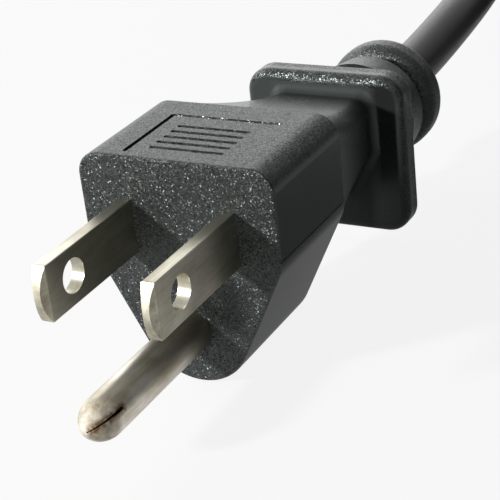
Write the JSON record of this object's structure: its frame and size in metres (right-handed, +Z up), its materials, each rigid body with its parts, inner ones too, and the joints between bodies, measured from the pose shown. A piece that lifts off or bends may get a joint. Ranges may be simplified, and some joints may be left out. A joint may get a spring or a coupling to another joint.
{
  "type": "type b plug",
  "caption": "Moulded black mains plug with flat blades and a round earth pin, a keeled tapering body, a square grip flange and a ringed strain relief, on a round cord folded into a tied hank.",
  "frame": {"origin": "under the middle of the plug from pin tip to collar, on the surface that its keel rests on", "axes": "-Y the way the blades point, +X towards the neutral blade, +Z up, away from the earth pin"},
  "size_m": [0.0591, 0.237, 0.0266],
  "materials": {
    "black_pvc": "spark-eroded satin",
    "carrier_plastic": "matt",
    "nickel_plate": "nickel plated, lightly drawn",
    "black_jacket": "satin",
    "tie_plastic": "matt",
    "copper": "bare strands",
    "tinned_copper": "tinned strands",
    "black_insulation": "satin",
    "white_insulation": "satin",
    "green_insulation": "satin"
  },
  "bodies": {
    "root": {"plug_body": "black_pvc", "contact_carrier": "carrier_plastic", "line_blade": "nickel_plate", "neutral_blade": "nickel_plate", "earth_pin": "nickel_plate", "cord_run": "black_jacket", "cord_hank": "black_jacket", "hank_tie": "tie_plastic", "line_strands": "copper", "line_insulation": "black_insulation", "line_lead_insulation": "black_insulation", "line_lead_strands": "tinned_copper", "neutral_strands": "copper", "neutral_insulation": "white_insulation", "neutral_lead_insulation": "white_insulation", "neutral_lead_strands": "tinned_copper", "earth_strands": "copper", "earth_insulation": "green_insulation", "earth_lead_insulation": "green_insulation", "earth_lead_strands": "tinned_copper"}
  },
  "joints": []
}
